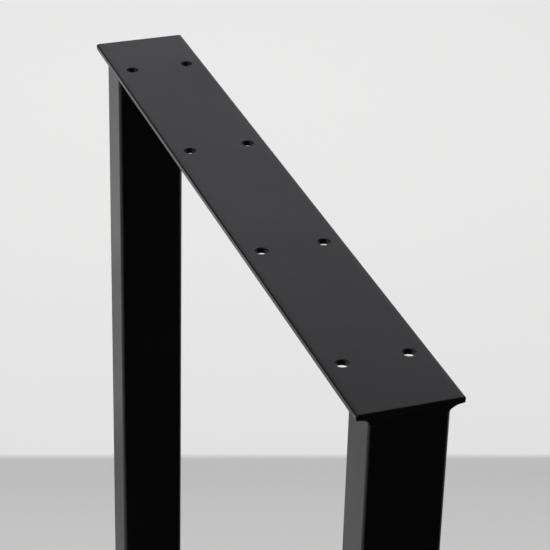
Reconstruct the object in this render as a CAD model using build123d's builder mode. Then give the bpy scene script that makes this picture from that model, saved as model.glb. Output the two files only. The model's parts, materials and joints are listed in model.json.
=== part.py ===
"""A welded steel table leg, made as a closed frame that carries one end of a table top.

Two upright tubes and a bottom rail, mitred at the floor corners, stand under a flat mounting plate
with eight screw holes. The plate is wider than the tubes, and a concave weld fills the angle under it.
Millimetres. X runs along the plate, Y across it and Z is up, with the floor at Z = 0 under the centre.
"""

import os

from build123d import *

# Driving dimensions of the frame
overall_height = 720.0  # floor to the top of the mounting plate
frame_length = 650.0  # over the uprights' outer faces, which are flush with the plate's ends
tube_width = 60.0  # the tube's wide side, across the frame
tube_depth = 40.0  # the tube's narrow side
tube_wall = 2.0
tube_corner_radius = 4.0  # outside radius of the tube's long edges

# Mounting plate, a length of flat bar with rolled upper edges
plate_thickness = 5.0
plate_overhang = 10.0  # how far the plate stands out past the tube on each side
plate_long_edge_radius = 2.2  # along the upper edges
plate_end_chamfer = 0.6  # round the sawn and deburred ends
plate_lower_chamfer = 0.5  # along the lower edges

# Screw holes, in four rows of two
hole_diameter = 10.0
hole_rim_chamfer = 0.7  # at both faces, where the burr was taken off
hole_track = 50.0  # between the two holes of a row
outer_row_span = 520.0  # between the two outermost rows
inner_row_span = 180.0  # between the two inner rows

# Weld beads, each with two legs and a hollow face
plate_weld_margin = 0.2  # from the bead's toe to the plate's lower chamfer
plate_weld_drop = 7.0  # how far the bead runs down the tube
corner_weld_leg = 5.0
weld_hollow = 0.3  # how far the face's middle is drawn in, as a share of the way to the root

# Plastic glides pressed into the bottom rail
glide_head_diameter = 16.0
glide_head_height = 4.0
glide_edge_chamfer = 1.0
glide_neck_diameter = 7.8
glide_neck_clearance = 0.1  # all round the neck, in the rail's hole
glide_barb_lip = 0.5  # how far the barb stands out past the hole's edge
glide_barb_gap = 0.2  # play between the barb and the wall it has snapped through
glide_barb_length = 5.0
glide_tip_diameter = 6.0
glide_slot_width = 1.4  # the slot that lets the barb spring in
glide_end_inset = 50.0  # from the frame's end to the glide's centre
glide_track = 34.0  # between the two glides of a pair

# Sizes that follow from those above
plate_width = tube_width + 2 * plate_overhang
plate_underside = overall_height - plate_thickness
plate_weld_reach = plate_overhang - plate_lower_chamfer - plate_weld_margin
outer_face = frame_length / 2
inner_face = outer_face - tube_depth
upright_centre = outer_face - tube_depth / 2
rail_underside = glide_head_height
rail_top = rail_underside + tube_depth
glide_hole_radius = glide_neck_diameter / 2 + glide_neck_clearance
glide_barb_radius = glide_hole_radius + glide_barb_lip
glide_barb_foot = rail_underside + tube_wall + glide_barb_gap
glide_top = glide_barb_foot + glide_barb_length
glide_span = frame_length - 2 * glide_end_inset


def tube_section(size_x, size_y):
    """Draw a tube's section in the open sketch, with its rounded corners and its hollow."""
    RectangleRounded(size_x, size_y, tube_corner_radius)
    inside_radius = tube_corner_radius - tube_wall
    inside_x = size_x - 2 * tube_wall
    inside_y = size_y - 2 * tube_wall
    RectangleRounded(inside_x, inside_y, inside_radius, mode=Mode.SUBTRACT)


def mitre_plane(side):
    """Return the 45 degree cut through one floor corner, with its normal up and outwards."""
    outer_corner = (side * outer_face, 0, rail_underside)
    return Plane(origin=outer_corner, x_dir=(0, 1, 0), z_dir=(side, 0, 1))


def bead_section(plane, reach, drop):
    """Return a bead's section: its root at the plane's origin, one leg along x and one down y."""
    hollow_point = ((1 - weld_hollow) * reach / 2, (weld_hollow - 1) * drop / 2)
    with BuildSketch(plane) as section:
        with BuildLine():
            Polyline((0, -drop), (0, 0), (reach, 0))
            ThreePointArc((0, -drop), hollow_point, (reach, 0))
        make_face()
    return section.sketch


os.makedirs("parts", exist_ok=True)


# Mounting plate: the bar's section, its length, its deburred ends and its eight screw holes
with BuildPart() as top_plate:
    bar_plane = Plane(origin=(-outer_face, 0, plate_underside), x_dir=(0, 1, 0), z_dir=(1, 0, 0))
    with BuildSketch(bar_plane) as bar:
        Rectangle(plate_width, plate_thickness, align=(Align.CENTER, Align.MIN))
        bar_corners = bar.vertices().group_by(Axis.Z)
        fillet(bar_corners[-1], plate_long_edge_radius)
        chamfer(bar_corners[0], plate_lower_chamfer)
    extrude(amount=frame_length)
    for end_face in top_plate.faces().filter_by(Axis.X):
        above_chamfer = plate_underside + plate_lower_chamfer
        outline = end_face.edges().filter_by_position(Axis.Z, above_chamfer, overall_height)
        chamfer(outline, plate_end_chamfer)
    with Locations((0, 0, overall_height)):
        for row_span in (outer_row_span, inner_row_span):
            with GridLocations(row_span, hole_track, 2, 2):
                Hole(hole_diameter / 2, plate_thickness)
    hole_rims = top_plate.faces().filter_by(Axis.Z).edges().filter_by(GeomType.CIRCLE)
    chamfer(hole_rims, hole_rim_chamfer)
top_plate.part.label = "top_plate"
export_step(top_plate.part, "parts/top_plate.step")


# Uprights: one tube on each side, square cut under the plate and mitred at the floor
for name, side in (("upright_left", -1), ("upright_right", 1)):
    with BuildPart() as upright:
        with BuildSketch(Plane(origin=(side * upright_centre, 0, rail_underside))):
            tube_section(tube_depth, tube_width)
        extrude(amount=plate_underside - rail_underside)
        split(bisect_by=mitre_plane(side), keep=Keep.TOP)
    upright.part.label = name
    export_step(upright.part, f"parts/{name}.step")


# Bottom rail: the same tube along the floor, mitred at both ends and drilled for its glides
with BuildPart() as bottom_rail:
    rail_centre = rail_underside + tube_depth / 2
    rail_plane = Plane(origin=(-outer_face, 0, rail_centre), x_dir=(0, 1, 0), z_dir=(1, 0, 0))
    with BuildSketch(rail_plane):
        tube_section(tube_width, tube_depth)
    extrude(amount=frame_length)
    for side in (-1, 1):
        split(bisect_by=mitre_plane(side), keep=Keep.BOTTOM)
    with BuildSketch(Plane.XY.offset(rail_underside)):
        with GridLocations(glide_span, glide_track, 2, 2):
            Circle(glide_hole_radius)
    extrude(amount=tube_wall, mode=Mode.SUBTRACT)
bottom_rail.part.label = "bottom_rail"
export_step(bottom_rail.part, "parts/bottom_rail.step")


# Plate welds: a bead from the tube's outer face round to it again, ground flush with the plate's end
for name, side in (("plate_weld_left", -1), ("plate_weld_right", 1)):
    with BuildPart() as plate_weld:
        x_out = side * outer_face
        x_in = side * inner_face
        y_side = tube_width / 2
        y_start = y_side / 2
        with BuildLine(Plane.XY.offset(plate_underside)) as tube_outline:
            FilletPolyline(
                (x_out, -y_start),
                (x_out, -y_side),
                (x_in, -y_side),
                (x_in, y_side),
                (x_out, y_side),
                (x_out, y_start),
                radius=tube_corner_radius,
            )
        root = (x_out, -y_start, plate_underside)
        root_plane = Plane(origin=root, x_dir=(side, 0, 0), z_dir=(0, -side, 0))
        bead = bead_section(root_plane, plate_weld_reach, plate_weld_drop)
        sweep(bead, path=tube_outline.wire())
        split(bisect_by=Plane(origin=(x_out, 0, 0), z_dir=(side, 0, 0)), keep=Keep.BOTTOM)
    plate_weld.part.label = name
    export_step(plate_weld.part, f"parts/{name}.step")


# Corner welds: a bead across the flat of the tubes in each inner floor corner
for name, side in (("corner_weld_left", -1), ("corner_weld_right", 1)):
    with BuildPart() as corner_weld:
        root = (side * inner_face, 0, rail_top)
        root_plane = Plane(origin=root, x_dir=(-side, 0, 0), z_dir=(0, -side, 0))
        bead = bead_section(root_plane, corner_weld_leg, corner_weld_leg)
        extrude(bead, amount=tube_width / 2 - tube_corner_radius, both=True)
    corner_weld.part.label = name
    export_step(corner_weld.part, f"parts/{name}.step")


# One glide: a round head on the floor, a neck through the rail's wall and a slotted barb above it
with BuildPart() as glide:
    with BuildSketch(Plane.XZ):
        with BuildLine():
            Polyline(
                (0, 0),
                (glide_head_diameter / 2, 0),
                (glide_head_diameter / 2, glide_head_height),
                (glide_neck_diameter / 2, glide_head_height),
                (glide_neck_diameter / 2, glide_barb_foot),
                (glide_barb_radius, glide_barb_foot),
                (glide_tip_diameter / 2, glide_top),
                (0, glide_top),
                close=True,
            )
        make_face()
    revolve(axis=Axis.Z)
    chamfer(glide.edges().group_by(Axis.Z)[0], glide_edge_chamfer)
    with BuildSketch(Plane.XY.offset(rail_underside)):
        Rectangle(glide_slot_width, 2 * glide_barb_radius)
    extrude(amount=glide_top - rail_underside, mode=Mode.SUBTRACT)


# Floor glides: the same glide in each of the rail's four holes
with BuildPart() as floor_glides:
    with GridLocations(glide_span, glide_track, 2, 2):
        add(glide.part)
floor_glides.part.label = "floor_glides"
export_step(floor_glides.part, "parts/floor_glides.step")
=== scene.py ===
"""Scene of a welded steel table leg, coated in black powder.

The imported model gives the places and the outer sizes. Each sub-assembly is a class whose fields are
its own sizes, in metres, and whose methods model its meshes with Blender's operators and dress them.
X runs along the mounting plate, Y across it and Z is up, with the floor at Z = 0.
"""

import json
import logging
import math
from collections.abc import Callable, Iterator
from contextlib import contextmanager
from dataclasses import dataclass
from enum import Enum

import bmesh
import bpy
from mathutils import Matrix, Vector


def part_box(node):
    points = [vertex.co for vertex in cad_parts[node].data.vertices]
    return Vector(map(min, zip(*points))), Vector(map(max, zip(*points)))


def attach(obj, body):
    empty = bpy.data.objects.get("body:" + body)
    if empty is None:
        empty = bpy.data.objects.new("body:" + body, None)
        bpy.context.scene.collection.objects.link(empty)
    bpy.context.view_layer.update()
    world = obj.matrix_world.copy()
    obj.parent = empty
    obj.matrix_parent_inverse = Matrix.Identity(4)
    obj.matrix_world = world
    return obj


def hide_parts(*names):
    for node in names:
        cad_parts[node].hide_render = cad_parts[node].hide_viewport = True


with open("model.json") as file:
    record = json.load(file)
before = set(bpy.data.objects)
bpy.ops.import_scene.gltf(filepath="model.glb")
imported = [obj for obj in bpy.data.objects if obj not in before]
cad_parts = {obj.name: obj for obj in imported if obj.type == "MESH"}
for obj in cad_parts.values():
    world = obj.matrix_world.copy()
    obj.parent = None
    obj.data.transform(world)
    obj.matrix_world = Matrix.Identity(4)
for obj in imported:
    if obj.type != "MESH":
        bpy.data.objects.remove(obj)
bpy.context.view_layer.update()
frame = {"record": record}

IMAGE_WIDTH = 550  # pixels, of the square photograph
SENSOR_WIDTH = 36.0  # millimetres
MILLIMETRES = 1000  # in a metre, in which the frame counts
TOUCH = 1e-5  # how near a point lies to a plane to count as on it
DOUBLE = 1e-6  # how near two points lie to count as one
SAME_WAY = 0.99  # cosine from which a face looks the same way as a direction
QUARTER_TURN = math.pi / 2
ALONG = Vector((1.0, 0.0, 0.0))
ACROSS = Vector((0.0, 1.0, 0.0))
UP = Vector((0.0, 0.0, 1.0))
EVENLY = Vector((1.0, 1.0, 1.0))  # resizes the same every way
HIGHLIGHT_INSET = 0.003  # from the plate's end to the middle of its painted highlight

Socket = bpy.types.NodeSocket
Triple = tuple[float, float, float]
Colour = tuple[float, float, float, float]

log = logging.getLogger("table_leg")


class Side(Enum):
    """The two ends of the frame, along X."""

    LEFT = -1
    RIGHT = 1

    @property
    def word(self) -> str:
        """The side's word in the names of nodes and pieces."""
        return self.name.lower()


class Run(Enum):
    """The way that a length of tube runs, as an index in a vector."""

    ALONG = 0
    UP = 2


class Slot(Enum):
    """The record's material slots."""

    COAT = "powder_coat"
    PLASTIC = "glide_plastic"


def mount(name: str) -> dict:
    """Return one of the record's mounts by its name."""
    return next(entry for entry in frame["record"]["mounts"] if entry["name"] == name)


def four_places(x: float, y: float, z: float = 0.0) -> list[Vector]:
    """Return the corners of a level rectangle about the frame's middle.

    Args:
        x: Half its length.
        y: Half its width.
        z: Its height.

    Returns:
        The four corners, those at the left end first.
    """
    signs = ((-1, -1), (-1, 1), (1, -1), (1, 1))
    return [Vector((along * x, across * y, z)) for along, across in signs]


def glide_places() -> list[Vector]:
    """Return the points of the floor under the four glides' centres."""
    return four_places(*mount("floor_face")["pos_m"])


@dataclass(frozen=True)
class HolePattern:
    """Four screw holes at the corners of a rectangle, as the record gives them."""

    span: float  # along the plate
    track: float  # across the plate
    radius: float

    @classmethod
    def of_mount(cls, name: str) -> "HolePattern":
        """Read a pattern from the record.

        Args:
            name: The mount's name.

        Returns:
            The pattern.
        """
        sizes = mount(name)["dims"]
        keys = ("spacing_x_mm", "spacing_y_mm", "hole_r_mm")
        return cls(*(sizes[key] / MILLIMETRES for key in keys))

    def centres(self) -> list[Vector]:
        """Return the four centres, at the height of the floor."""
        return four_places(self.span / 2, self.track / 2)


# Work at the bench: selection, edit mode, cuts and finishing


def clear_selection() -> None:
    """Leave edit mode and deselect every object."""
    if bpy.context.mode != "OBJECT":
        bpy.ops.object.mode_set(mode="OBJECT")
    bpy.ops.object.select_all(action="DESELECT")


def take_up(piece: bpy.types.Object) -> None:
    """Make one piece the only selected object and the active one.

    Args:
        piece: The object to work on.
    """
    clear_selection()
    piece.select_set(True)
    bpy.context.view_layer.objects.active = piece


def name_piece(name: str) -> bpy.types.Object:
    """Name the new active object and its mesh, and move its place into the mesh.

    Args:
        name: The piece's name.

    Returns:
        The object, at the origin, unturned and unscaled.
    """
    piece = bpy.context.object
    piece.name = name
    piece.data.name = name
    bpy.ops.object.transform_apply(location=True, rotation=True, scale=True)
    return piece


def add_block(name: str, low: Vector, high: Vector) -> bpy.types.Object:
    """Add a cube between two corners.

    Args:
        name: The piece's name.
        low: The lowest corner.
        high: The highest corner.

    Returns:
        The block.
    """
    clear_selection()
    bpy.ops.mesh.primitive_cube_add(size=1.0, location=(low + high) / 2, scale=high - low)
    return name_piece(name)


def add_rod(name: str, foot: Vector, radius: float, height: float, sides: int) -> bpy.types.Object:
    """Add an upright cylinder on a point.

    Args:
        name: The piece's name.
        foot: The centre of the lower face.
        radius: The rod's radius.
        height: The rod's height.
        sides: How many sides stand for the circle.

    Returns:
        The rod.
    """
    clear_selection()
    centre = foot + UP * (height / 2)
    bpy.ops.mesh.primitive_cylinder_add(vertices=sides, radius=radius, depth=height, location=centre)
    return name_piece(name)


def copy_piece(piece: bpy.types.Object, name: str, offset: Vector) -> bpy.types.Object:
    """Copy a piece with its own mesh and set the copy beside it.

    Args:
        piece: The piece to copy.
        name: The copy's name.
        offset: Where the copy lies from the piece.

    Returns:
        The copy.
    """
    take_up(piece)
    bpy.ops.object.duplicate(linked=False)
    bpy.ops.transform.translate(value=offset)
    return name_piece(name)


@contextmanager
def editing(piece: bpy.types.Object) -> Iterator[None]:
    """Hold a piece open in edit mode, with nothing selected at the start.

    Args:
        piece: The mesh object to edit.

    Yields:
        Nothing. The piece leaves edit mode after the block.
    """
    take_up(piece)
    bpy.ops.object.mode_set(mode="EDIT")
    bpy.ops.mesh.select_all(action="DESELECT")
    yield
    bpy.ops.object.mode_set(mode="OBJECT")


def pick_edges(piece: bpy.types.Object, fits: Callable[[Vector, Vector], bool]) -> None:
    """Select only the edges whose two ends pass a test, in edit mode.

    Args:
        piece: The piece in edit mode.
        fits: Says from an edge's two ends whether it is wanted.
    """
    bpy.ops.mesh.select_mode(type="EDGE")
    bpy.ops.mesh.select_all(action="DESELECT")
    mesh = bmesh.from_edit_mesh(piece.data)
    for edge in mesh.edges:
        if fits(edge.verts[0].co, edge.verts[1].co):
            edge.select_set(True)
    bmesh.update_edit_mesh(piece.data)


def pick_faces(piece: bpy.types.Object, fits: Callable[[Vector, Vector], bool]) -> None:
    """Select only the faces whose middle and normal pass a test, in edit mode.

    Args:
        piece: The piece in edit mode.
        fits: Says from a face's middle and normal whether it is wanted.
    """
    bpy.ops.mesh.select_mode(type="FACE")
    bpy.ops.mesh.select_all(action="DESELECT")
    mesh = bmesh.from_edit_mesh(piece.data)
    for face in mesh.faces:
        if fits(face.calc_center_median(), face.normal):
            face.select_set(True)
    bmesh.update_edit_mesh(piece.data)


def pick_sawn_rim(piece: bpy.types.Object, point: Vector, outward: Vector) -> None:
    """Select only the outer rim of a tube's sawn end, in edit mode.

    Args:
        piece: The tube in edit mode.
        point: A point of the cut.
        outward: The cut's normal, of length one.
    """
    bpy.ops.mesh.select_mode(type="EDGE")
    bpy.ops.mesh.select_all(action="DESELECT")
    mesh = bmesh.from_edit_mesh(piece.data)
    middle = sum((vertex.co for vertex in mesh.verts), Vector()) / len(mesh.verts)
    for edge in mesh.edges:
        ends = [vertex.co for vertex in edge.verts]
        if max(abs((end - point).dot(outward)) for end in ends) < TOUCH:
            # An outer edge has one skin beside the cut's own face, and it looks away from the middle
            skins = [face for face in edge.link_faces if face.normal.dot(outward) < SAME_WAY]
            away = (ends[0] + ends[1]) / 2 - middle
            edge.select_set(len(skins) == 1 and skins[0].normal.dot(away) > 0)
    bmesh.update_edit_mesh(piece.data)


def pick_vertex(piece: bpy.types.Object, place: Vector) -> None:
    """Select only the vertex at a place, in edit mode.

    Args:
        piece: The piece in edit mode.
        place: Where the vertex is.
    """
    bpy.ops.mesh.select_mode(type="VERT")
    bpy.ops.mesh.select_all(action="DESELECT")
    mesh = bmesh.from_edit_mesh(piece.data)
    nearest = min(mesh.verts, key=lambda vertex: (vertex.co - place).length)
    nearest.select_set(True)
    bmesh.update_edit_mesh(piece.data)


def round_edges(radius: float, steps: int) -> None:
    """Bevel the selected edges to a round.

    Args:
        radius: The round's radius.
        steps: How many flats stand for the round.
    """
    bpy.ops.mesh.bevel(
        offset_type="OFFSET", offset=radius, segments=steps, profile=0.5, affect="EDGES"
    )


def extrude_by(offset: Vector) -> None:
    """Extrude the selected faces and move them.

    Args:
        offset: The move.
    """
    bpy.ops.mesh.extrude_region_move(TRANSFORM_OT_translate={"value": offset})


def resize_about(share: Vector, centre: Vector) -> None:
    """Resize what is selected about a point.

    Args:
        share: The factor along each axis.
        centre: The point that stays.
    """
    bpy.ops.transform.resize(value=share, center_override=centre)


def apply_modifier(piece: bpy.types.Object, kind: str, **settings: object) -> None:
    """Give a piece a modifier and apply it.

    Args:
        piece: The piece to change.
        kind: Blender's name for the kind of modifier.
        **settings: The modifier's values by name.
    """
    take_up(piece)
    modifier = piece.modifiers.new(kind.title(), kind)
    for key, value in settings.items():
        setattr(modifier, key, value)
    bpy.ops.object.modifier_apply(modifier=modifier.name)


def cut_away(piece: bpy.types.Object, cutters: list[bpy.types.Object]) -> None:
    """Cut the cutters' shapes out of a piece and throw the cutters away.

    Args:
        piece: The piece to cut.
        cutters: Closed shapes that stand where material goes.
    """
    take_up(cutters[0])
    for cutter in cutters:
        cutter.select_set(True)
    if len(cutters) > 1:
        bpy.ops.object.join()
    joined = bpy.context.object
    apply_modifier(piece, "BOOLEAN", operation="DIFFERENCE", solver="EXACT", object=joined)
    bpy.data.objects.remove(joined, do_unlink=True)


def saw_off(piece: bpy.types.Object, point: Vector, outward: Vector) -> None:
    """Saw a closed piece through at a plane, drop what lies outside and close the cut.

    Args:
        piece: The piece to saw.
        point: A point of the plane.
        outward: The plane's normal, towards the part that is dropped.
    """
    with editing(piece):
        bpy.ops.mesh.select_all(action="SELECT")
        bpy.ops.mesh.bisect(
            plane_co=point, plane_no=outward, clear_outer=True, use_fill=True, threshold=DOUBLE
        )


def smooth(piece: bpy.types.Object, sharp_above: float = 50.0) -> None:
    """Merge doubles, turn faces outwards and shade the rounds smooth beside level flats.

    Args:
        piece: The finished piece.
        sharp_above: The angle in degrees from which an edge stays sharp.
    """
    with editing(piece):
        bpy.ops.mesh.select_all(action="SELECT")
        bpy.ops.mesh.remove_doubles(threshold=DOUBLE)
        bpy.ops.mesh.normals_make_consistent(inside=False)
        if bmesh.from_edit_mesh(piece.data).calc_volume(signed=True) < 0:
            bpy.ops.mesh.flip_normals()
    take_up(piece)
    bpy.ops.object.shade_smooth_by_angle(angle=math.radians(sharp_above))
    apply_modifier(piece, "WEIGHTED_NORMAL", keep_sharp=True)


def hand_over(
    piece: bpy.types.Object, node: str, material: bpy.types.Material
) -> bpy.types.Object:
    """Coat a piece, fix it to the frame and let it stand for its node.

    Args:
        piece: The finished piece.
        node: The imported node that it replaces.
        material: The piece's finish.

    Returns:
        The piece.
    """
    piece.data.materials.clear()
    piece.data.materials.append(material)
    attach(piece, "root")
    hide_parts(node)
    log.info("%s: %d faces, for %s", piece.name, len(piece.data.polygons), node)
    return piece


# Finishes


class NodeSheet:
    """Adds nodes to one node tree and wires them."""

    MIX_COLOURS = (6, 7)  # the mix node's two colour inputs, after those for its other kinds
    MIX_RESULT = 2  # its colour output

    def __init__(self, tree: bpy.types.NodeTree) -> None:
        """Take the tree to draw in."""
        self.tree = tree

    def add(self, kind: str, **values: object) -> bpy.types.Node:
        """Add a node and set its values.

        Args:
            kind: The node's type name.
            **values: Properties of the node, or its inputs with underscores for spaces.

        Returns:
            The node.
        """
        node = self.tree.nodes.new(kind)
        for key, value in values.items():
            socket = key.replace("_", " ").title()
            if hasattr(node, key):
                setattr(node, key, value)
            elif socket in node.inputs:
                node.inputs[socket].default_value = value
            else:
                raise KeyError(f"{kind} has no {key}")
        return node

    def wire(self, source: Socket, target: Socket) -> None:
        """Link an output to an input."""
        self.tree.links.new(source, target)

    def feed(self, value: Socket | float | Triple | Colour, target: Socket) -> None:
        """Give an input a value of its own, or link an output to it.

        Args:
            value: A value or an output socket.
            target: The input.
        """
        if isinstance(value, Socket):
            self.wire(value, target)
        else:
            target.default_value = value

    def object_place(self) -> Socket:
        """Return the output socket of the place on the object."""
        return self.add("ShaderNodeTexCoord").outputs["Object"]

    def maths(
        self, work: str, first: Socket | float, second: Socket | float, clamp: bool = False
    ) -> Socket:
        """Add a maths node on two values.

        Args:
            work: The operation, such as MULTIPLY.
            first: A number or an output socket.
            second: A number or an output socket.
            clamp: Whether the result is held between 0 and 1.

        Returns:
            The result's output socket.
        """
        node = self.add("ShaderNodeMath", operation=work, use_clamp=clamp)
        for place, value in enumerate((first, second)):
            self.feed(value, node.inputs[place])
        return node.outputs[0]

    def vector_maths(self, work: str, first: Socket, second: Socket | Triple) -> Socket:
        """Add a maths node that makes one number of two vectors.

        Args:
            work: The operation, DOT_PRODUCT or DISTANCE.
            first: An output socket.
            second: A vector or an output socket.

        Returns:
            The result's output socket.
        """
        node = self.add("ShaderNodeVectorMath", operation=work)
        for place, value in enumerate((first, second)):
            self.feed(value, node.inputs[place])
        return node.outputs["Value"]

    def height(self, vector: Socket) -> Socket:
        """Add a node that takes a vector's height.

        Args:
            vector: The output socket to read.

        Returns:
            The height's output socket.
        """
        split = self.add("ShaderNodeSeparateXYZ")
        self.wire(vector, split.inputs[0])
        return split.outputs["Z"]

    def spread(
        self, value: Socket, low: float, high: float, start: float = 0.0, end: float = 1.0
    ) -> Socket:
        """Map a value from one range to another, held at both ends.

        Args:
            value: The output socket to read.
            low: The result at start.
            high: The result at end.
            start: The value that gives low.
            end: The value that gives high.

        Returns:
            The result's output socket.
        """
        node = self.add("ShaderNodeMapRange", clamp=True)
        ends = {"Value": value, "From Min": start, "From Max": end, "To Min": low, "To Max": high}
        for title, given in ends.items():
            self.feed(given, node.inputs[title])
        return node.outputs["Result"]

    def blend(self, mask: Socket, under: Socket | Colour, over: Socket | Colour) -> Socket:
        """Mix two colours by a mask.

        Args:
            mask: The output socket that is 0 for under and 1 for over.
            under: A colour or an output socket.
            over: A colour or an output socket.

        Returns:
            The colour's output socket.
        """
        node = self.add("ShaderNodeMix", data_type="RGBA")
        for place, value in zip((0, *self.MIX_COLOURS), (mask, under, over)):
            self.feed(value, node.inputs[place])
        return node.outputs[self.MIX_RESULT]

    def noise(self, place: Socket, scale: Socket | float, detail: float) -> Socket:
        """Add a noise texture.

        Args:
            place: Where it is read.
            scale: Its lumps over a metre.
            detail: How many finer layers it has.

        Returns:
            The output socket of its grey.
        """
        texture = self.add("ShaderNodeTexNoise", detail=detail)
        self.feed(place, texture.inputs["Vector"])
        self.feed(scale, texture.inputs["Scale"])
        return texture.outputs["Fac"]


def grey(value: float) -> Colour:
    """Return a neutral colour of a linear brightness."""
    return (value, value, value, 1.0)


@dataclass
class Effects:
    """The node groups that the finishes share, each built once."""

    noise_band: tuple[float, float] = (0.3, 0.7)  # where the grey of a noise mostly lies
    fleck_share: float = 0.25  # of the flecks in the skin's height, beside the orange peel
    rub_band: tuple[float, float] = (0.35, 0.65)  # the same band for the rubbing's noise
    least_rub: float = 0.35  # what stays of the rubbing where its noise is low
    least_dust: float = 0.4  # what stays of the dust where its noise is low
    dust_slope: tuple[float, float] = (0.6, 1.0)  # height of the normal, from no dust to all
    highlight_ragged_scale: float = 1800.0  # of the noise that makes the painted highlight's edge ragged
    ragged: float = 0.3  # how far that edge wanders, as a share of the painted highlight's reach
    highlight_fade: tuple[float, float] = (0.6, 1.0)  # shares of the reach where the painted highlight fades

    def __post_init__(self) -> None:
        """Build the groups."""
        self.grain = self._grain()
        self.edge = self._edge()
        self.dust = self._dust()
        # The painted highlight: the mask of one bright spot, ragged at its edge.
        self.highlight_spot = self._highlight_spot()

    @staticmethod
    def _open(
        name: str, inputs: dict[str, float], outputs: list[str]
    ) -> tuple[NodeSheet, bpy.types.Node, bpy.types.Node]:
        """Start a group with float sockets.

        Args:
            name: The group's name.
            inputs: Each input's name and its value to begin with.
            outputs: The outputs' names.

        Returns:
            The group's sheet, its input node and its output node.
        """
        tree = bpy.data.node_groups.new(name, "ShaderNodeTree")
        for title, value in inputs.items():
            socket = tree.interface.new_socket(title, in_out="INPUT", socket_type="NodeSocketFloat")
            socket.default_value = value
        for title in outputs:
            tree.interface.new_socket(title, in_out="OUTPUT", socket_type="NodeSocketFloat")
        sheet = NodeSheet(tree)
        return sheet, sheet.add("NodeGroupInput"), sheet.add("NodeGroupOutput")

    def _grain(self) -> bpy.types.NodeTree:
        """Build the skin of a sprayed coat: its orange peel with fine flecks, and its clouding.

        Returns:
            The group.
        """
        sizes = {"Peel Scale": 600.0, "Fleck Scale": 2500.0, "Cloud Scale": 9.0}
        sheet, given, made = self._open("SprayedSkin", sizes, ["Height", "Cloud"])
        place = sheet.object_place()
        peel = sheet.noise(place, given.outputs["Peel Scale"], detail=2.0)
        fleck = sheet.noise(place, given.outputs["Fleck Scale"], detail=1.0)
        cloud = sheet.noise(place, given.outputs["Cloud Scale"], detail=4.0)
        soft = sheet.spread(peel, 0.0, 1.0, *self.noise_band)
        fine = sheet.maths("MULTIPLY", fleck, self.fleck_share)
        sheet.wire(sheet.maths("ADD", soft, fine), made.inputs["Height"])
        sheet.wire(sheet.spread(cloud, 0.0, 1.0, *self.noise_band), made.inputs["Cloud"])
        return sheet.tree

    def _edge(self) -> bpy.types.NodeTree:
        """Build the mask of corners and rims, broken up where the coat is thin or rubbed.

        Returns:
            The group.
        """
        sizes = {"Width": 0.001, "Gain": 6.0, "Break Scale": 120.0}
        sheet, given, made = self._open("CornerRub", sizes, ["Mask"])
        rounded = sheet.add("ShaderNodeBevel", samples=4)
        sheet.wire(given.outputs["Width"], rounded.inputs["Radius"])
        flat = sheet.add("ShaderNodeNewGeometry").outputs["Normal"]
        facing = sheet.vector_maths("DOT_PRODUCT", rounded.outputs["Normal"], flat)
        away = sheet.maths("SUBTRACT", 1.0, facing)
        strong = sheet.maths("MULTIPLY", away, given.outputs["Gain"], clamp=True)
        patch = sheet.noise(sheet.object_place(), given.outputs["Break Scale"], detail=3.0)
        thin = sheet.spread(patch, self.least_rub, 1.0, *self.rub_band)
        sheet.wire(sheet.maths("MULTIPLY", strong, thin), made.inputs["Mask"])
        return sheet.tree

    def _dust(self) -> bpy.types.NodeTree:
        """Build the mask of the thin dust that lies on faces that look up.

        Returns:
            The group.
        """
        sizes = {"Amount": 0.5, "Patch Scale": 14.0}
        sheet, given, made = self._open("RestingDust", sizes, ["Mask"])
        height = sheet.height(sheet.add("ShaderNodeNewGeometry").outputs["Normal"])
        upward = sheet.spread(height, 0.0, 1.0, *self.dust_slope)
        patch = sheet.noise(sheet.object_place(), given.outputs["Patch Scale"], detail=5.0)
        thin = sheet.spread(patch, self.least_dust, 1.0, *self.noise_band)
        film = sheet.maths("MULTIPLY", upward, thin)
        sheet.wire(sheet.maths("MULTIPLY", film, given.outputs["Amount"]), made.inputs["Mask"])
        return sheet.tree

    def _highlight_spot(self) -> bpy.types.NodeTree:
        """Build the mask of one small painted highlight, ragged at its edge.

        Returns:
            The group.
        """
        sizes = {"Place X": 0.0, "Place Y": 0.0, "Place Z": 0.0, "Reach": 0.001}
        sheet, given, made = self._open("PaintedCornerHighlight", sizes, ["Mask"])
        place = sheet.object_place()
        spot = sheet.add("ShaderNodeCombineXYZ")
        for axis in "XYZ":
            sheet.wire(given.outputs[f"Place {axis}"], spot.inputs[axis])
        away = sheet.vector_maths("DISTANCE", place, spot.outputs[0])
        share = sheet.maths("DIVIDE", away, given.outputs["Reach"])
        ragged_noise = sheet.noise(place, self.highlight_ragged_scale, detail=2.0)
        edge = sheet.maths("ADD", share, sheet.spread(ragged_noise, -self.ragged, self.ragged))
        sheet.wire(sheet.spread(edge, 1.0, 0.0, *self.highlight_fade), made.inputs["Mask"])
        return sheet.tree

    @staticmethod
    def place(sheet: NodeSheet, group: bpy.types.NodeTree, **values: float) -> bpy.types.Node:
        """Place a group in a material with its own values.

        Args:
            sheet: The material's sheet.
            group: The group to place.
            **values: The group's inputs by name, with underscores for spaces.

        Returns:
            The group's node.
        """
        node = sheet.add("ShaderNodeGroup", node_tree=group)
        for key, value in values.items():
            node.inputs[key.replace("_", " ").title()].default_value = value
        return node


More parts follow.
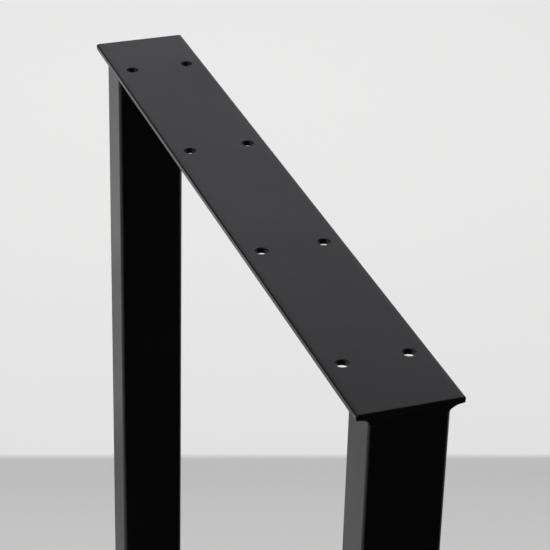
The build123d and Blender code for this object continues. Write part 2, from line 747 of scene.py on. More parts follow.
@dataclass(frozen=True)
class Finish:
    """A surface with a sprayed or moulded skin, rubbed corners, a little dust and, where given, a
    painted highlight at one spot.
    """

    name: str
    body: float  # linear brightness of the surface
    cloud: float  # the same where the skin clouds
    rubbed: float  # the same on rubbed corners
    dust: float  # the same under dust
    smooth_roughness: float
    rough_roughness: float
    peel_scale: float  # bumps of the skin over a metre
    peel_height: float  # metres
    rub_width: float  # metres
    dust_amount: float
    refraction: float = 1.5
    painted_highlight: float = 0.5  # linear brightness of a painted highlight at one spot
    highlight_reach: float = 0.001  # metres

    def material(self, effects: Effects, highlight_place: Vector | None = None) -> bpy.types.Material:
        """Build the material.

        Args:
            effects: The shared node groups.
            highlight_place: Where a highlight is painted on the piece, if one is.

        Returns:
            The material.
        """
        material = bpy.data.materials.new(self.name)
        material.use_nodes = True
        material.node_tree.nodes.clear()
        sheet = NodeSheet(material.node_tree)
        skin = effects.place(sheet, effects.grain, peel_scale=self.peel_scale)
        cloud = skin.outputs["Cloud"]
        colour = self._colour(sheet, effects, cloud)
        # Painted highlight: the coat turns bright at one spot, where one is given.
        if highlight_place is not None:
            colour = self._paint_highlight(sheet, effects, colour, highlight_place)
        bump = sheet.add("ShaderNodeBump", strength=1.0, distance=self.peel_height)
        sheet.wire(skin.outputs["Height"], bump.inputs["Height"])
        roughness = sheet.spread(cloud, self.smooth_roughness, self.rough_roughness)
        shader = sheet.add("ShaderNodeBsdfPrincipled")
        shader.inputs["IOR"].default_value = self.refraction
        sheet.wire(colour, shader.inputs["Base Color"])
        sheet.wire(roughness, shader.inputs["Roughness"])
        sheet.wire(bump.outputs["Normal"], shader.inputs["Normal"])
        output = sheet.add("ShaderNodeOutputMaterial")
        sheet.wire(shader.outputs["BSDF"], output.inputs["Surface"])
        return material

    def _colour(self, sheet: NodeSheet, effects: Effects, cloud: Socket) -> Socket:
        """Lay the clouding, the rubbed corners and the dust over each other.

        Args:
            sheet: The material's sheet.
            effects: The shared node groups.
            cloud: The mask of the clouding.

        Returns:
            The colour's output socket.
        """
        rub = effects.place(sheet, effects.edge, width=self.rub_width)
        dust = effects.place(sheet, effects.dust, amount=self.dust_amount)
        coat = sheet.blend(cloud, grey(self.body), grey(self.cloud))
        worn = sheet.blend(rub.outputs["Mask"], coat, grey(self.rubbed))
        return sheet.blend(dust.outputs["Mask"], worn, grey(self.dust))

    def _paint_highlight(self, sheet: NodeSheet, effects: Effects, coat: Socket, spot: Vector) -> Socket:
        """Paint a highlight into the coat's colour at one spot.

        Args:
            sheet: The material's sheet.
            effects: The shared node groups.
            coat: The coat's colour.
            spot: Where the highlight is painted.

        Returns:
            The colour's output socket.
        """
        places = {"place_x": spot.x, "place_y": spot.y, "place_z": spot.z}
        highlight_spot = effects.place(sheet, effects.highlight_spot, reach=self.highlight_reach, **places)
        # The painted highlight is blended over the coat's colour.
        return sheet.blend(highlight_spot.outputs["Mask"], coat, grey(self.painted_highlight))


PLATE_COAT = Finish(
    name="plate_powder_coat",
    body=0.003,
    cloud=0.0045,
    rubbed=0.09,
    dust=0.012,
    smooth_roughness=0.30,
    rough_roughness=0.35,
    peel_scale=520.0,
    peel_height=0.00003,
    rub_width=0.0008,
    dust_amount=0.35,
)
TUBE_COAT = Finish(
    name="tube_powder_coat",
    body=0.002,
    cloud=0.003,
    rubbed=0.012,
    dust=0.01,
    smooth_roughness=0.31,
    rough_roughness=0.37,
    peel_scale=480.0,
    peel_height=0.000035,
    rub_width=0.0009,
    dust_amount=0.2,
    refraction=1.55,
)
WELD_COAT = Finish(
    name="weld_powder_coat",
    body=0.002,
    cloud=0.003,
    rubbed=0.012,
    dust=0.01,
    smooth_roughness=0.32,
    rough_roughness=0.40,
    peel_scale=700.0,
    peel_height=0.00004,
    rub_width=0.0006,
    dust_amount=0.15,
)
GLIDE_PLASTIC = Finish(
    name="glide_moulded_plastic",
    body=0.012,
    cloud=0.016,
    rubbed=0.05,
    dust=0.04,
    smooth_roughness=0.5,
    rough_roughness=0.62,
    peel_scale=1500.0,
    peel_height=0.00001,
    rub_width=0.0005,
    dust_amount=0.2,
)


# Sub-assemblies


@dataclass
class MountingPlate:
    """The flat bar on top, with rolled long edges, deburred ends and eight screw holes."""

    long_edge_radius: float = 0.00125
    long_edge_steps: int = 8
    lower_edge_radius: float = 0.0005
    lower_edge_steps: int = 2
    shoulder_width: float = 0.005  # how far in from the long edge the rolled bar falls away
    shoulder_drop: float = 0.0003
    shoulder_steps: int = 5
    end_radius: float = 0.0006
    end_steps: int = 3
    hole_mounts: tuple[str, str] = ("outer_holes", "inner_holes")
    hole_sides: int = 72
    rim_radius: float = 0.0006
    rim_steps: int = 4
    drill_share: int = 3  # the drill's length, in thicknesses of the plate
    node: str = "top_plate"

    def __post_init__(self) -> None:
        """Take the plate's box from the frame and its holes from the record."""
        self.low, self.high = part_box(self.node)
        patterns = [HolePattern.of_mount(name) for name in self.hole_mounts]
        self.hole_radius = patterns[0].radius
        self.hole_centres = [centre for pattern in patterns for centre in pattern.centres()]

    def build(self, coat: bpy.types.Material) -> bpy.types.Object:
        """Model the plate and coat it.

        Args:
            coat: The finish.

        Returns:
            The plate.
        """
        plate = add_block("mounting_plate", self.low, self.high)
        self._roll_shoulders(plate)
        self._roll_edges(plate)
        self._drill(plate)
        self._ease_rims(plate)
        smooth(plate)
        return hand_over(plate, self.node, coat)

    def _roll_shoulders(self, plate: bpy.types.Object) -> None:
        """Let the upper face fall away towards the long edges, as on rolled bar.

        Args:
            plate: The plate, still a block.
        """
        shares = [step / self.shoulder_steps for step in range(self.shoulder_steps + 1)]
        shares.remove(shares[-2])  # the round of the long edge takes its place
        lines = {share: self.high.y - self.shoulder_width * (1 - share) for share in shares}
        with editing(plate):
            for line in list(lines.values())[:-1]:
                for way in (-1, 1):
                    pick_faces(plate, lambda middle, normal: normal.z > SAME_WAY)
                    bpy.ops.mesh.bisect(plane_co=ACROSS * (way * line), plane_no=ACROSS)
            for share, line in lines.items():
                pick_edges(
                    plate,
                    lambda a, b: min(a.z, b.z) > self.high.z - TOUCH
                    and max(abs(abs(a.y) - line), abs(abs(b.y) - line)) < TOUCH,
                )
                bpy.ops.transform.translate(value=-UP * (self.shoulder_drop * share**2))

    def _roll_edges(self, plate: bpy.types.Object) -> None:
        """Round the long edges and then the outline of both ends.

        Args:
            plate: The plate with its shoulders.
        """
        low, high = self.low, self.high
        with editing(plate):
            for level, radius, steps in (
                (high.z - self.shoulder_drop, self.long_edge_radius, self.long_edge_steps),
                (low.z, self.lower_edge_radius, self.lower_edge_steps),
            ):
                pick_edges(
                    plate,
                    lambda a, b: max(abs(a.z - level), abs(b.z - level)) < TOUCH
                    and min(abs(a.y), abs(b.y)) > high.y - TOUCH,
                )
                round_edges(radius, steps)
            pick_edges(
                plate,
                lambda a, b: abs(a.x - b.x) < TOUCH and min(a.x - low.x, high.x - a.x) < TOUCH,
            )
            round_edges(self.end_radius, self.end_steps)

    def _drill(self, plate: bpy.types.Object) -> None:
        """Drill the eight holes.

        Args:
            plate: The plate with its rolled edges.
        """
        thickness = self.high.z - self.low.z
        first = self.hole_centres[0]
        foot = first + UP * (self.low.z - thickness)
        length = self.drill_share * thickness
        drill = add_rod("drill_1", foot, self.hole_radius, length, self.hole_sides)
        others = [
            copy_piece(drill, f"drill_{count}", centre - first)
            for count, centre in enumerate(self.hole_centres[1:], start=2)
        ]
        cut_away(plate, [drill, *others])

    def _on_rim(self, point: Vector) -> bool:
        """Say whether a point lies on the edge of a hole at either face.

        Args:
            point: A point of the plate.

        Returns:
            Whether it does.
        """
        flat = Vector((point.x, point.y, 0.0))
        beside = min(abs((flat - centre).length - self.hole_radius) for centre in self.hole_centres)
        return beside < TOUCH and min(point.z - self.low.z, self.high.z - point.z) < TOUCH

    def _ease_rims(self, plate: bpy.types.Object) -> None:
        """Round the holes' rims at both faces.

        Args:
            plate: The drilled plate.
        """
        side = 2 * self.hole_radius * math.sin(math.pi / self.hole_sides)
        with editing(plate):
            pick_edges(
                plate,
                lambda a, b: self._on_rim(a)
                and self._on_rim(b)
                and abs((a - b).length - side) < TOUCH,
            )
            round_edges(self.rim_radius, self.rim_steps)


@dataclass
class TubeStock:
    """Rectangular steel tube with rounded corners."""

    wall: float = 0.002
    corner_radius: float = 0.004
    corner_steps: int = 10
    seam_radius: float = 0.00025
    seam_steps: int = 2

    def cut(self, name: str, low: Vector, high: Vector, way: Run) -> bpy.types.Object:
        """Cut a length of tube, square at both ends.

        Args:
            name: The tube's name.
            low: Its lowest corner.
            high: Its highest corner.
            way: The way that it runs.

        Returns:
            The tube.
        """
        run = way.value
        tube = add_block(name, low, high)
        with editing(tube):
            pick_edges(tube, lambda a, b: abs(a[run] - b[run]) > TOUCH)
            round_edges(self.corner_radius, self.corner_steps)
            pick_faces(tube, lambda middle, normal: abs(normal[run]) > SAME_WAY)
            bpy.ops.mesh.delete(type="FACE")
        apply_modifier(tube, "SOLIDIFY", thickness=self.wall, offset=-1.0, use_even_offset=True)
        return tube

    def mitre(self, tube: bpy.types.Object, corner: Vector, outward: Vector) -> None:
        """Cut a tube at 45 degrees and ease the cut's outer rim, which leaves a fine seam.

        Args:
            tube: The tube.
            corner: The outer corner of the frame, which the cut passes through.
            outward: The cut's normal, away from the tube.
        """
        saw_off(tube, corner, outward)
        with editing(tube):
            bpy.ops.mesh.select_all(action="SELECT")
            bpy.ops.mesh.normals_make_consistent(inside=False)
            pick_sawn_rim(tube, corner, outward.normalized())
            round_edges(self.seam_radius, self.seam_steps)


@dataclass
class Upright:
    """One upright of the frame, from the mitre at the floor corner to the plate."""

    side: Side
    stock: TubeStock

    def build(self, coat: bpy.types.Material) -> bpy.types.Object:
        """Model the upright and coat it.

        Args:
            coat: The finish.

        Returns:
            The upright.
        """
        node = f"upright_{self.side.word}"
        low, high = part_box(node)
        tube = self.stock.cut(f"upright_tube_{self.side.word}", low, high, Run.UP)
        corner = Vector((high.x if self.side is Side.RIGHT else low.x, 0.0, low.z))
        self.stock.mitre(tube, corner, Vector((-self.side.value, 0.0, -1.0)))
        smooth(tube)
        return hand_over(tube, node, coat)


@dataclass
class BottomRail:
    """The rail along the floor, mitred at both ends and drilled for its glides."""

    stock: TubeStock
    hole_radius: float = 0.004
    hole_sides: int = 48
    drill_share: int = 3  # the drill's length, in thicknesses of the tube's wall
    node: str = "bottom_rail"

    def build(self, coat: bpy.types.Material) -> bpy.types.Object:
        """Model the rail and coat it.

        Args:
            coat: The finish.

        Returns:
            The rail.
        """
        low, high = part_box(self.node)
        rail = self.stock.cut("rail_tube", low, high, Run.ALONG)
        self.stock.mitre(rail, Vector((low.x, 0.0, low.z)), Vector((-1.0, 0.0, 1.0)))
        self.stock.mitre(rail, Vector((high.x, 0.0, low.z)), Vector((1.0, 0.0, 1.0)))
        below = UP * (low.z - self.stock.wall)
        height = self.drill_share * self.stock.wall
        drills = [
            add_rod("rail_drill", place + below, self.hole_radius, height, self.hole_sides)
            for place in glide_places()
        ]
        cut_away(rail, drills)
        smooth(rail)
        return hand_over(rail, self.node, coat)


@dataclass
class WeldBead:
    """A hollow fillet weld, laid in ripples along a path at the root between two faces."""

    reach: float  # along the first face
    drop: float  # along the second face
    hollow: float = 0.42  # share of the way to the root that the face's middle is drawn in
    ripple: float = 0.0024  # from one ripple to the next
    ripple_dip: float = 0.05  # share of the section that a dip lacks
    face_steps: int = 10
    face_share: float = 98.0  # per cent of each leg that the hollow face takes
    corner_rings: int = 5
    sharp_above: float = 60.0  # degrees

    def start(self, name: str, root: Vector, first: Vector, second: Vector) -> bpy.types.Object:
        """Make the bead's section at the start of its path and select it, in edit mode.

        Args:
            name: The bead's name.
            root: The corner between the two faces.
            first: The direction of the first leg, with no length of its own.
            second: The direction of the second leg.

        Returns:
            The bead, left in edit mode.
        """
        clear_selection()
        bpy.ops.mesh.primitive_plane_add(size=1.0, location=(0.0, 0.0, 0.0))
        bead = name_piece(name)
        legs = Matrix((first, second, first.cross(second))).transposed().to_4x4()
        place = Matrix.Translation(root) @ legs
        size = Matrix.Diagonal((self.reach, self.drop, 1.0, 1.0))
        corner_to_root = Matrix.Translation((0.5, 0.5, 0.0))
        bead.matrix_world = place @ size @ corner_to_root
        bpy.ops.object.transform_apply(location=True, rotation=True, scale=True)
        self._draw_in(bead, root, first, second)
        return bead

    def _draw_in(self, bead: bpy.types.Object, root: Vector, first: Vector, second: Vector) -> None:
        """Draw the section's free corner in to the hollow face, and leave the face selected.

        Args:
            bead: The bead, so far a rectangle between its legs.
            root: The corner between the two faces.
            first: The direction of the first leg.
            second: The direction of the second leg.
        """
        take_up(bead)
        bpy.ops.object.mode_set(mode="EDIT")
        diagonal = first * self.reach + second * self.drop
        pick_vertex(bead, root + diagonal)
        sag = 1.0 - math.sqrt(0.5)  # of a round with the legs for its radii
        middle = (1.0 - self.hollow) / 2
        share = (middle - sag) / (1.0 - 2 * sag)
        bpy.ops.transform.translate(value=diagonal * (share - 1.0))
        bpy.ops.mesh.bevel(
            offset_type="PERCENT",
            offset_pct=self.face_share,
            segments=self.face_steps,
            affect="VERTICES",
        )
        bpy.ops.mesh.select_mode(type="FACE")
        bpy.ops.mesh.select_all(action="SELECT")

    def _ripple_size(self, ring: int) -> float:
        """Return the share of the full section at a ring, where every second one is a dip."""
        return 1.0 - self.ripple_dip if ring % 2 else 1.0

    def _dip(self, ring: int, root: Vector) -> None:
        """Resize the newest ring about the root, from the ring before it.

        Args:
            ring: The number of the newest ring.
            root: Where the root is now.
        """
        share = self._ripple_size(ring) / self._ripple_size(ring - 1)
        resize_about(EVENLY * share, root)

    def taper(self, root: Vector, travel: Vector, shares: tuple[float, ...]) -> Vector:
        """Lay a short end of the bead that grows or shrinks.

        Args:
            root: Where the root is now.
            travel: The whole stretch.
            shares: The section's size at each ring, the first being the present one.

        Returns:
            The new root.
        """
        step = travel / (len(shares) - 1)
        for before, share in zip(shares, shares[1:]):
            root = root + step
            extrude_by(step)
            resize_about(EVENLY * (share / before), root)
        return root

    def run_straight(self, ring: int, root: Vector, travel: Vector) -> tuple[int, Vector]:
        """Lay the bead along a straight stretch.

        Args:
            ring: The number of the last ring.
            root: Where the root is now.
            travel: The whole stretch.

        Returns:
            The number of the last ring and the new root.
        """
        steps = max(1, round(travel.length / (self.ripple / 2)))
        for _ in range(steps):
            ring += 1
            root = root + travel / steps
            extrude_by(travel / steps)
            self._dip(ring, root)
        return ring, root

    def run_round(self, ring: int, root: Vector, centre: Vector, angle: float) -> tuple[int, Vector]:
        """Lay the bead round a corner.

        Args:
            ring: The number of the last ring.
            root: Where the root is now.
            centre: The corner's centre.
            angle: The turn about Z, in radians.

        Returns:
            The number of the last ring and the new root.
        """
        step = angle / self.corner_rings
        turn = Matrix.Rotation(step, 4, "Z")
        for _ in range(self.corner_rings):
            ring += 1
            root = centre + turn @ (root - centre)
            # Spin counts its angle clockwise about the axis
            bpy.ops.mesh.spin(steps=1, angle=-step, center=centre, axis=UP)
            self._dip(ring, root)
        return ring, root


@dataclass
class PlateWeld:
    """The bead round the top of one upright, under the plate, ground flush with the plate's end."""

    side: Side
    stock: TubeStock

    def build(self, coat: bpy.types.Material) -> bpy.types.Object:
        """Model the bead and coat it.

        Args:
            coat: The finish.

        Returns:
            The bead.
        """
        node = f"plate_weld_{self.side.word}"
        way = self.side.value
        tube_low, tube_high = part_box(f"upright_{self.side.word}")
        inner, outer = (tube_low.x, tube_high.x)[::way]
        root = Vector((outer, self.stock.corner_radius - tube_high.y, tube_high.z))
        lay = WeldBead(reach=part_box(node)[1].y - tube_high.y, drop=tube_high.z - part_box(node)[0].z)
        piece = lay.start(f"plate_bead_{self.side.word}", root, ALONG * way, -UP)
        self._lay_round(lay, root, inner)
        saw_off(piece, ALONG * outer, ALONG * way)
        smooth(piece, lay.sharp_above)
        return hand_over(piece, node, coat)

    def _lay_round(self, lay: WeldBead, root: Vector, inner: float) -> None:
        """Lay the bead from the outer face round the tube to the outer face again.

        Args:
            lay: The bead, started at the root and in edit mode.
            root: Where the tube's outer face ends and its first corner begins.
            inner: The X of the tube's inner face.
        """
        way = self.side.value
        turn = -way * QUARTER_TURN
        x_outer = root.x - way * self.stock.corner_radius
        x_inner = inner + way * self.stock.corner_radius
        back = ALONG * (x_inner - x_outer)
        across = ACROSS * (-2 * root.y)
        ring, end = lay.run_round(0, root, Vector((x_outer, root.y, root.z)), turn)
        ring, end = lay.run_straight(ring, end, back)
        ring, end = lay.run_round(ring, end, Vector((x_inner, root.y, root.z)), turn)
        ring, end = lay.run_straight(ring, end, across)
        ring, end = lay.run_round(ring, end, Vector((x_inner, -root.y, root.z)), turn)
        ring, end = lay.run_straight(ring, end, -back)
        lay.run_round(ring, end, Vector((x_outer, -root.y, root.z)), turn)


@dataclass
class CornerWeld:
    """The bead across the flat of the tubes in one inner floor corner."""

    side: Side
    end_length: float = 0.003
    end_shares: tuple[float, ...] = (0.25, 0.62, 0.84, 0.96, 1.0)

    def build(self, coat: bpy.types.Material) -> bpy.types.Object:
        """Model the bead, small at both ends, and coat it.

        Args:
            coat: The finish.

        Returns:
            The bead.
        """
        node = f"corner_weld_{self.side.word}"
        low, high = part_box(node)
        way = self.side.value
        lay = WeldBead(reach=high.x - low.x, drop=high.z - low.z)
        root = Vector((high.x if self.side is Side.RIGHT else low.x, low.y, low.z))
        piece = lay.start(f"corner_bead_{self.side.word}", root, ALONG * -way, UP)
        end = ACROSS * self.end_length
        resize_about(EVENLY * self.end_shares[0], root)
        root = lay.taper(root, end, self.end_shares)
        _, root = lay.run_straight(0, root, ACROSS * (high.y - low.y) - 2 * end)
        lay.taper(root, end, self.end_shares[::-1])
        smooth(piece, lay.sharp_above)
        return hand_over(piece, node, coat)


@dataclass
class FloorGlides:
    """Four moulded glides, each with a round head, a neck and a slotted barb."""

    stock: TubeStock
    head_round: float = 0.001  # of the edge on the floor
    head_steps: int = 4
    top_share: float = 1 / 3  # of that round, for the head's upper edge
    top_steps: int = 2
    neck_radius: float = 0.0039
    barb_radius: float = 0.0045
    barb_gap: float = 0.0002  # over the inside of the rail's wall
    tip_radius: float = 0.003
    slot_width: float = 0.0014
    slot_reach: float = 2.0  # of the slot's cutter, in radii and heights of the barb
    dish_radius: float = 0.0055
    dish_depth: float = 0.0004
    dish_slope: float = 2.0  # its sloping rim's width over its depth
    sides: int = 64
    sharp_above: float = 40.0  # degrees
    node: str = "floor_glides"

    def __post_init__(self) -> None:
        """Work the heights and the head's size out from the frame."""
        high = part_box(self.node)[1]
        self.head_radius = high.x - max(place.x for place in glide_places())
        self.head_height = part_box("bottom_rail")[0].z
        self.barb_foot = self.head_height + self.stock.wall + self.barb_gap
        self.tip_height = high.z
        self.top_round = self.head_round * self.top_share

    def build(self, plastic: bpy.types.Material) -> list[bpy.types.Object]:
        """Model one glide, copy it to its four places and dress them.

        Args:
            plastic: The finish.

        Returns:
            The four glides.
        """
        glide = self._mould()
        glides = [
            copy_piece(glide, f"floor_glide_{count}", place)
            for count, place in enumerate(glide_places(), start=1)
        ]
        bpy.data.objects.remove(glide, do_unlink=True)
        for piece in glides:
            hand_over(piece, self.node, plastic)
        return glides

    def _mould(self) -> bpy.types.Object:
        """Model a glide at the origin, from the floor up.

        Returns:
            The glide.
        """
        origin = Vector((0.0, 0.0, 0.0))
        glide = add_rod("glide_pattern", origin, self.head_radius, self.head_height, self.sides)
        with editing(glide):
            pick_edges(glide, lambda a, b: a.z < TOUCH and b.z < TOUCH)
            round_edges(self.head_round, self.head_steps)
            pick_edges(glide, lambda a, b: min(a.z, b.z) > self.head_height - TOUCH)
            round_edges(self.top_round, self.top_steps)
            self._form_neck(glide)
            self._sink_dish(glide)
        reach = self.slot_reach * self.barb_radius
        slot_low = Vector((-self.slot_width / 2, -reach, self.head_height))
        slot_high = Vector((self.slot_width / 2, reach, self.slot_reach * self.tip_height))
        cut_away(glide, [add_block("slot_cutter", slot_low, slot_high)])
        smooth(glide, self.sharp_above)
        return glide

    def _form_neck(self, glide: bpy.types.Object) -> None:
        """Draw the neck and the barb up out of the head's upper face.

        Args:
            glide: The glide in edit mode, so far a head with rounded edges.
        """
        pick_faces(
            glide,
            lambda middle, normal: normal.z > SAME_WAY and middle.z > self.head_height - TOUCH,
        )
        bpy.ops.mesh.inset(thickness=self.head_radius - self.top_round - self.neck_radius)
        extrude_by(UP * (self.barb_foot - self.head_height))
        extrude_by(UP * 0.0)  # the barb's lip, still level with the neck
        flare = self.barb_radius / self.neck_radius
        resize_about(Vector((flare, flare, 1.0)), UP * self.barb_foot)
        extrude_by(UP * (self.tip_height - self.barb_foot))
        taper = self.tip_radius / self.barb_radius
        resize_about(Vector((taper, taper, 1.0)), UP * self.tip_height)

    def _sink_dish(self, glide: bpy.types.Object) -> None:
        """Sink a shallow dish into the face that stands on the floor.

        Args:
            glide: The glide in edit mode.
        """
        pick_faces(glide, lambda middle, normal: normal.z < -SAME_WAY and middle.z < TOUCH)
        bpy.ops.mesh.inset(thickness=self.head_radius - self.head_round - self.dish_radius)
        bpy.ops.mesh.inset(thickness=self.dish_slope * self.dish_depth)
        bpy.ops.transform.translate(value=UP * self.dish_depth)


# Studio


def plain_paint(name: str, tone: float) -> bpy.types.Material:
    """Make a matt paint of one tone, for the studio's own things.

    Args:
        name: The material's name.
        tone: Its linear brightness.

    Returns:
        The material.
    """
    material = bpy.data.materials.new(name)
    material.use_nodes = True
    shader = material.node_tree.nodes["Principled BSDF"]
    shader.inputs["Base Color"].default_value = grey(tone)
    shader.inputs["Roughness"].default_value = 1.0
    shader.inputs["Specular IOR Level"].default_value = 0.0
    return material


def let_through(material: bpy.types.Material, clear: Socket | float) -> None:
    """Let a share of the light straight through a paint.

    Args:
        material: The paint.
        clear: The share, or an output socket that gives it.
    """
    sheet = NodeSheet(material.node_tree)
    mixed = sheet.add("ShaderNodeMixShader")
    sheet.feed(clear, mixed.inputs[0])
    paint = material.node_tree.nodes["Principled BSDF"]
    sheet.wire(paint.outputs["BSDF"], mixed.inputs[1])
    sheet.wire(sheet.add("ShaderNodeBsdfTransparent").outputs["BSDF"], mixed.inputs[2])
    output = material.node_tree.nodes["Material Output"]
    sheet.wire(mixed.outputs["Shader"], output.inputs["Surface"])


@dataclass(frozen=True)
class Lamp:
    """A soft rectangular light that looks at a point and doesn't show in reflections."""

    name: str
    place: Triple
    target: Triple
    size: tuple[float, float]
    radiance: float

    def hang(self) -> bpy.types.Object:
        """Add the light and turn it to its point.

        Returns:
            The light.
        """
        data = bpy.data.lights.new(self.name, "AREA")
        data.shape = "RECTANGLE"
        data.size, data.size_y = self.size
        data.energy = self.radiance * math.pi * self.size[0] * self.size[1]
        lamp = bpy.data.objects.new(self.name, data)
        bpy.context.scene.collection.objects.link(lamp)
        lamp.location = self.place
        aim = Vector(self.target) - Vector(self.place)
        lamp.rotation_euler = aim.to_track_quat("-Z", "Y").to_euler()
        lamp.visible_camera = False
        lamp.visible_glossy = False
        return lamp


@dataclass(frozen=True)
class Flag:
    """A block of black cloth that only reflections see."""

    name: str
    low: Triple
    high: Triple
    open_share: float = 0.0  # of the light that each of its skins lets through

    def stand(self) -> bpy.types.Object:
        """Add the flag to the studio.

        Returns:
            The flag.
        """
        flag = add_block(self.name, Vector(self.low), Vector(self.high))
        cloth = plain_paint(f"{self.name}_cloth", 0.0)
        let_through(cloth, self.open_share)
        flag.data.materials.append(cloth)
        flag.visible_camera = False
        flag.visible_diffuse = False
        flag.visible_transmission = False
        flag.visible_shadow = False
        return flag


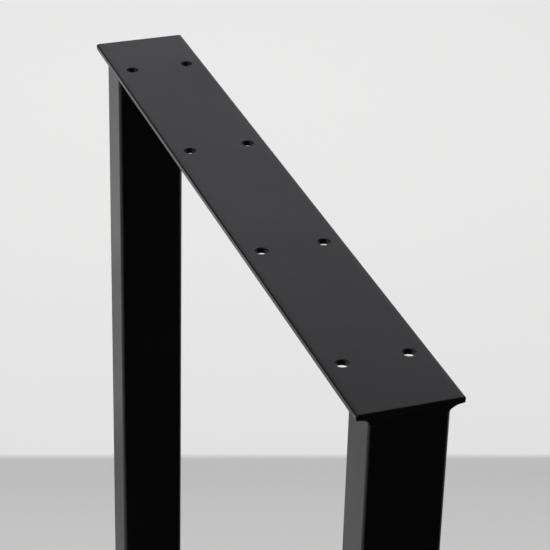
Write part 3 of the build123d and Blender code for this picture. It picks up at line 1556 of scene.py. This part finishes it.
@dataclass
class Studio:
    """A pale floor with a painted shade band and painted light past it, soft light, flags that shape
    the reflections, and the camera.
    """

    floor_size: float = 40.0
    near_tone: float = 0.81  # the floor's linear brightness under the frame
    seam_shade_tone: float = 0.65  # the same just before the tones' border, a painted shade band
    far_light_tone: float = 0.97  # the same past it, painted light
    seam_shade_from: tuple[float, float] = (0.40, 0.665)  # metres from the centre, away from the camera, over which the floor darkens into the painted shade
    # metres away from the camera over which the floor turns to its painted light
    far_light_from: tuple[float, float] = (0.697, 0.709)
    seam_turn: float = 2.8  # degrees, which sets the tones' border level in the picture
    paint_tint: float = 0.975  # of blue, against the bluish light of the room
    low_sky: float = 0.77  # radiance up to low_sine of height
    high_sky: float = 0.19  # radiance from high_sine of height
    low_sine: float = 0.45
    high_sine: float = 0.66
    haze_share: float = 0.64  # of low_sky, under the lower end of haze_sines
    haze_sines: tuple[float, float] = (0.36, 0.42)
    sky_tint: Colour = (1.0, 0.985, 1.045, 1.0)
    dark_gap: Triple = (-0.82, -0.20, 0.53)  # the way to a dimmer patch of the room
    dark_gap_cosines: tuple[float, float] = (0.985, 0.93)  # of its inner and outer edge
    dark_gap_share: float = 0.3  # of the light that is left in it
    overhead_panel: Lamp = Lamp("overhead_panel", (-1.7, 0.5, 2.8), (-1.7, 0.5, 0.0), (4.0, 4.0), 1.38)
    flags: tuple[Flag, ...] = (
        Flag("wall_flag", (0.61, -1.5, 0.001), (0.62, 0.9, 1.0)),
        Flag("floor_flag", (-0.26, -0.04, 0.001), (0.61, 0.9, 0.002)),
        Flag("front_flag", (-0.1, -0.64, 0.001), (0.61, -0.04, 0.002)),
        Flag("side_flag", (-4.0, -0.92, 0.32), (-0.6, -0.9, 1.6)),
        Flag("foot_scrim", (-0.451, -0.18, 0.001), (-0.45, 0.02, 0.42), open_share=0.89),
    )
    focal_pixels: float = 2196.8  # the lens's focal length in the photograph's pixels
    azimuth: float = 69.855
    elevation: float = 29.102
    roll: float = 1.555
    camera_place: Triple = (1.46047, -0.51653, 1.50979)

    def build(self) -> None:
        """Set up floor, flags, light and camera."""
        self._lay_floor()
        for flag in self.flags:
            flag.stand()
        self._light_room()
        self.overhead_panel.hang()
        self._stand_camera()

    def _floor_paint(self) -> bpy.types.Material:
        """Make the floor's paint, darker in a painted shade band and paler past it as painted light,
        and clear when it is seen from below.

        Returns:
            The material.
        """
        material = plain_paint("floor_paint", self.near_tone)
        sheet = NodeSheet(material.node_tree)
        turn = math.radians(self.azimuth + self.seam_turn)
        away_from_camera = (-math.sin(turn), math.cos(turn), 0.0)
        away = sheet.vector_maths("DOT_PRODUCT", sheet.object_place(), away_from_camera)
        dim = sheet.spread(away, 0.0, 1.0, *self.seam_shade_from)
        pale = sheet.spread(away, 0.0, 1.0, *self.far_light_from)
        near, seam, far = (
            (tone, tone, tone * self.paint_tint, 1.0)
            for tone in (self.near_tone, self.seam_shade_tone, self.far_light_tone)
        )
        # Painted shade darkens the floor towards the tones' border, and painted light makes it paler
        # past it.
        paint = sheet.blend(pale, sheet.blend(dim, near, seam), far)
        shader = material.node_tree.nodes["Principled BSDF"]
        sheet.wire(paint, shader.inputs["Base Color"])
        let_through(material, sheet.add("ShaderNodeNewGeometry").outputs["Backfacing"])
        return material

    def _lay_floor(self) -> None:
        """Lay a pale floor, with its painted shade band and painted light."""
        clear_selection()
        bpy.ops.mesh.primitive_plane_add(size=self.floor_size, location=(0.0, 0.0, 0.0))
        floor = name_piece("studio_floor")
        floor.data.materials.append(self._floor_paint())

    def _light_room(self) -> None:
        """Fill the room with soft light that fades with height, low haze and one dimmer patch."""
        world = bpy.data.worlds.new("studio_room")
        world.use_nodes = True
        bpy.context.scene.world = world
        sheet = NodeSheet(world.node_tree)
        direction = sheet.add("ShaderNodeTexCoord").outputs["Generated"]
        sine = sheet.height(direction)
        sky = sheet.spread(sine, self.low_sky, self.high_sky, self.low_sine, self.high_sine)
        haze = sheet.spread(sine, self.haze_share, 1.0, *self.haze_sines)
        gap = tuple(Vector(self.dark_gap).normalized())
        nearness = sheet.vector_maths("DOT_PRODUCT", direction, gap)
        inner, outer = self.dark_gap_cosines
        dimming = sheet.spread(nearness, 1.0, self.dark_gap_share, outer, inner)
        strength = sheet.maths("MULTIPLY", sheet.maths("MULTIPLY", sky, haze), dimming)
        background = world.node_tree.nodes["Background"]
        background.inputs["Color"].default_value = self.sky_tint
        sheet.wire(strength, background.inputs["Strength"])

    def _stand_camera(self) -> None:
        """Stand the camera where the photograph was taken from, and show colours as they are."""
        turn, lift, roll = map(math.radians, (self.azimuth, self.elevation, self.roll))
        back = Vector(
            (math.sin(turn) * math.cos(lift), -math.cos(turn) * math.cos(lift), math.sin(lift))
        )
        level = Vector((math.cos(turn), math.sin(turn), 0.0))
        above = back.cross(level)
        right = level * math.cos(roll) + above * math.sin(roll)
        up = above * math.cos(roll) - level * math.sin(roll)
        data = bpy.data.cameras.new("photo_camera")
        data.sensor_width = SENSOR_WIDTH
        data.lens = self.focal_pixels * SENSOR_WIDTH / IMAGE_WIDTH
        camera = bpy.data.objects.new("photo_camera", data)
        bpy.context.scene.collection.objects.link(camera)
        axes = Matrix((right, up, back)).transposed().to_4x4()
        camera.matrix_world = Matrix.Translation(self.camera_place) @ axes
        bpy.context.scene.camera = camera
        bpy.context.scene.view_settings.view_transform = "Standard"


def highlighted_corner() -> Vector:
    """Return the spot near the plate's front corner at the right end where a highlight is painted."""
    low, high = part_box("top_plate")
    return Vector((high.x - HIGHLIGHT_INSET, low.y, (low.z + high.z) / 2))


def main() -> None:
    """Build the leg from the plate down, and then the studio round it."""
    logging.basicConfig(level=logging.INFO, format="%(name)s: %(message)s")
    effects = Effects()
    # The plate's coat has a highlight painted near one corner.
    plate_coat = PLATE_COAT.material(effects, highlighted_corner())
    tube_coat = TUBE_COAT.material(effects)
    weld_coat = WELD_COAT.material(effects)
    stock = TubeStock()
    MountingPlate().build(plate_coat)
    for side in Side:
        Upright(side, stock).build(tube_coat)
    BottomRail(stock).build(tube_coat)
    for side in Side:
        PlateWeld(side, stock).build(weld_coat)
        CornerWeld(side).build(weld_coat)
    FloorGlides(stock).build(GLIDE_PLASTIC.material(effects))
    Studio().build()


if __name__ == "__main__":
    main()
